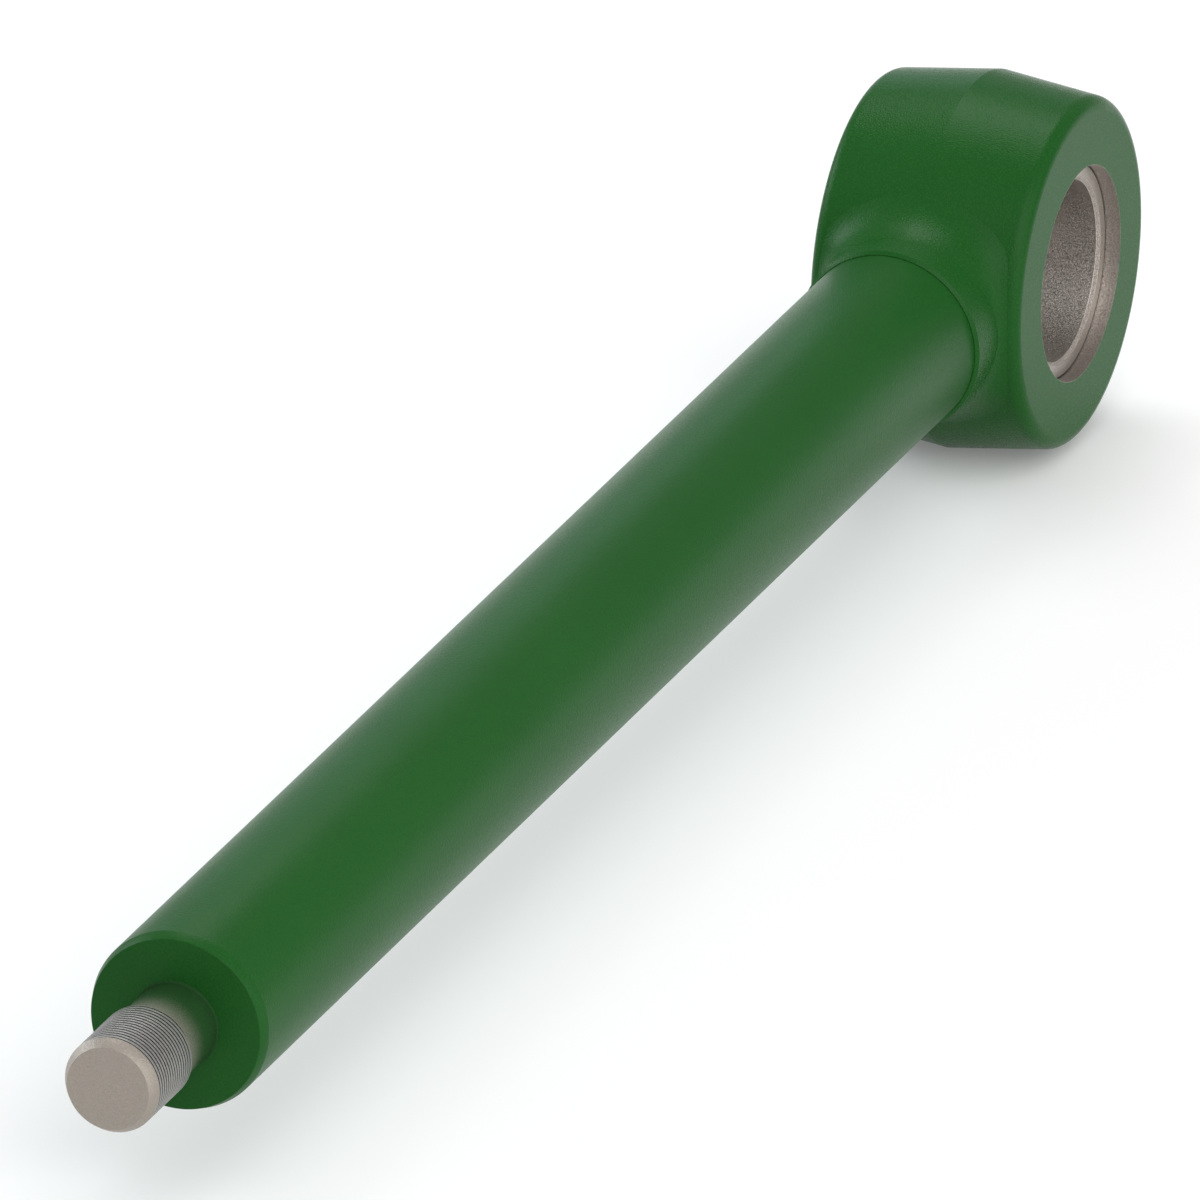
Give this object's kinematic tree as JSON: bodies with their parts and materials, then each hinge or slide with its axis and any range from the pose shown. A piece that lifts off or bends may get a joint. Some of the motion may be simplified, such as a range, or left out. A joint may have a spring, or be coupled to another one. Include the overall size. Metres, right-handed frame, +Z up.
{
  "type": "hydraulic piston rod",
  "caption": "Hydraulic cylinder piston rod: round bar with a forged, bushed eye for a pin at one end and a shouldered threaded stud for the piston at the other.",
  "frame": {"origin": "centre of the pin bore in the eye, on the forging's parting plane", "axes": "+X along the rod from the eye to the threaded end, +Y along the pin, +Z up"},
  "size_m": [0.6868, 0.0618, 0.1054],
  "materials": {
    "green_paint": "satin enamel over a blasted forging and bar",
    "bare_steel": "turned and bored, uncoated"
  },
  "bodies": {
    "root": {"piston_rod": "green_paint", "rod_eye": "green_paint", "eye_bushing": "bare_steel"}
  },
  "joints": []
}
